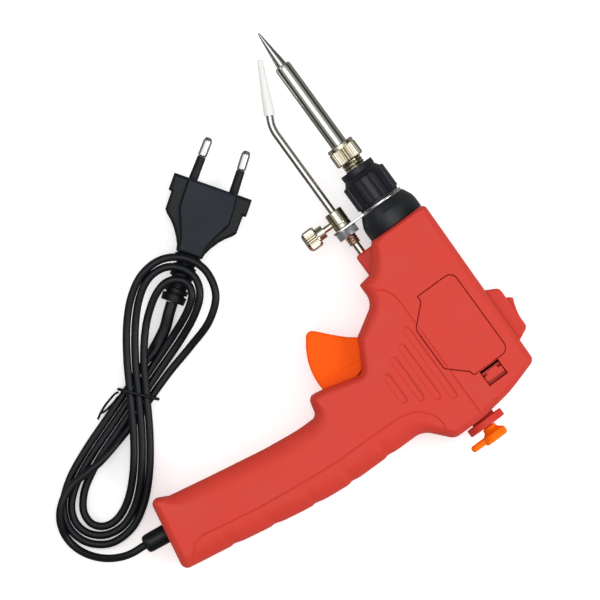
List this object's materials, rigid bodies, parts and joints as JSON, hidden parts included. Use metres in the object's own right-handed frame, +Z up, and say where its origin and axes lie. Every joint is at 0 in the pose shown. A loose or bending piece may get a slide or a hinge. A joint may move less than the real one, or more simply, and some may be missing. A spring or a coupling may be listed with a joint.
{
  "type": "soldering gun",
  "caption": "Red pistol-shaped soldering gun with a heated chrome barrel and trigger-fed solder tube, lying on its side beside its tied black mains lead and two-pin plug",
  "frame": {"origin": "centre of the box around the gun without its cord and plug, on the surface it lies on", "axes": "+X runs along the barrel to the tip, +Y from the barrel down to the end of the grip, +Z up from the surface through the side of the gun that shows"},
  "size_m": [0.204, 0.2218, 0.036],
  "materials": {
    "bit_metal": "satin",
    "chrome": "polished",
    "ceramic": "matte",
    "nickel": "nickel plated",
    "steel": "satin",
    "dark_steel": "satin",
    "black_metal": "semi-matt",
    "black_plastic": "satin",
    "white_ceramic": "satin",
    "red_plastic": "satin",
    "orange_plastic": "satin",
    "board": "satin",
    "black_rubber": "satin"
  },
  "bodies": {
    "gun": {"soldering_tip": "bit_metal", "barrel_sleeve": "chrome", "heating_element": "ceramic", "heater_socket": "steel", "heat_collar": "black_metal", "bracket_plate": "steel", "nose_cap": "black_plastic", "tube_clamp": "nickel", "lock_nut": "dark_steel", "wire_guide": "nickel", "rear_guide": "nickel", "lower_shell": "red_plastic", "upper_shell": "red_plastic", "cover_pin": "steel", "latch_spring": "steel", "trigger_pin": "steel", "trigger_spring": "steel", "feed_axle": "steel", "axle_clip": "dark_steel", "lever_pin": "steel", "lever_spring": "steel", "rocker_switch": "black_plastic", "rocker_pin": "steel", "rear_collar": "red_plastic", "shell_screws": "steel", "circuit_board": "board", "diode": "black_plastic", "inner_leads": "black_rubber", "cord_clamp": "black_plastic", "strain_relief": "black_rubber", "cord_lead": "black_rubber", "cord_hank": "black_rubber", "cord_end": "black_rubber", "cord_tie": "black_rubber", "plug_body": "black_plastic", "plug_sleeves": "black_plastic", "plug_pins": "steel", "plug_relief": "black_rubber"},
    "trigger": {"trigger": "orange_plastic"},
    "feed": {"feed_wheel": "nickel", "feed_gear": "steel"},
    "lever": {"pressure_lever": "steel", "roller_axle": "steel"},
    "roller": {"pressure_roller": "steel"},
    "cover": {"side_cover": "red_plastic"},
    "latch": {"cover_latch": "red_plastic"},
    "rocker": {"rocker": "red_plastic"},
    "inlet": {"wire_inlet": "orange_plastic"},
    "tube": {"feed_tube": "chrome", "feed_nozzle": "white_ceramic"},
    "screw": {"thumb_screw": "nickel"},
    "nut": {"knurled_nut": "nickel"}
  },
  "joints": [
    {"name": "trigger_pull", "type": "hinge", "parent": "gun", "child": "trigger", "pos_m": [-0.03727, -0.03255, 0.018], "axis": [0, 0, 1], "range_deg": [0, 18], "stiffness_Nm_per_rad": 0.4, "springref_deg": -8.59, "deforming": ["trigger_spring"]},
    {"name": "feed_turn", "type": "hinge", "parent": "gun", "child": "feed", "pos_m": [-0.03727, -0.06225, 0.018], "axis": [0, 0, 1], "range_deg": [-85, 0]},
    {"name": "lever_swing", "type": "hinge", "parent": "gun", "child": "lever", "pos_m": [-0.06231, -0.04215, 0.018], "axis": [0, 0, 1], "range_deg": [0, 5], "stiffness_Nm_per_rad": 0.5, "springref_deg": -5.73, "deforming": ["lever_spring"]},
    {"name": "roller_turn", "type": "hinge", "parent": "lever", "child": "roller", "pos_m": [-0.03727, -0.04605, 0.018], "axis": [0, 0, 1], "continuous": true},
    {"name": "cover_swing", "type": "hinge", "parent": "gun", "child": "cover", "pos_m": [-0.03241, -0.07065, 0.0349], "axis": [0, 1, 0], "range_deg": [0, 85]},
    {"name": "latch_slide", "type": "slide", "parent": "gun", "child": "latch", "axis": [1, 0, 0], "range_m": [-0.0014, 0], "stiffness_N_per_m": 250, "springref_m": 0.001, "deforming": ["latch_spring"]},
    {"name": "rocker_tilt", "type": "hinge", "parent": "gun", "child": "rocker", "pos_m": [-0.061, -0.08785, 0.018], "axis": [0, 0, 1], "range_deg": [0, 22]},
    {"name": "inlet_turn", "type": "hinge", "parent": "gun", "child": "inlet", "pos_m": [-0.0953, -0.05115, 0.018], "axis": [1, 0, 0], "range_deg": [0, 90]},
    {"name": "tube_slide", "type": "slide", "parent": "gun", "child": "tube", "axis": [1, 0, 0], "range_m": [-0.003, 0.004]},
    {"name": "screw_turn", "type": "hinge", "parent": "gun", "child": "screw", "pos_m": [0.01564, -0.04565, 0.018], "axis": [0, 1, 0], "continuous": true},
    {"name": "nut_turn", "type": "hinge", "parent": "gun", "child": "nut", "pos_m": [0.0377, -0.07065, 0.018], "axis": [1, 0, 0], "continuous": true}
  ],
  "couplings": [
    {"joint": "feed_turn", "follows": "trigger_pull", "ratio": -4.6923}
  ]
}
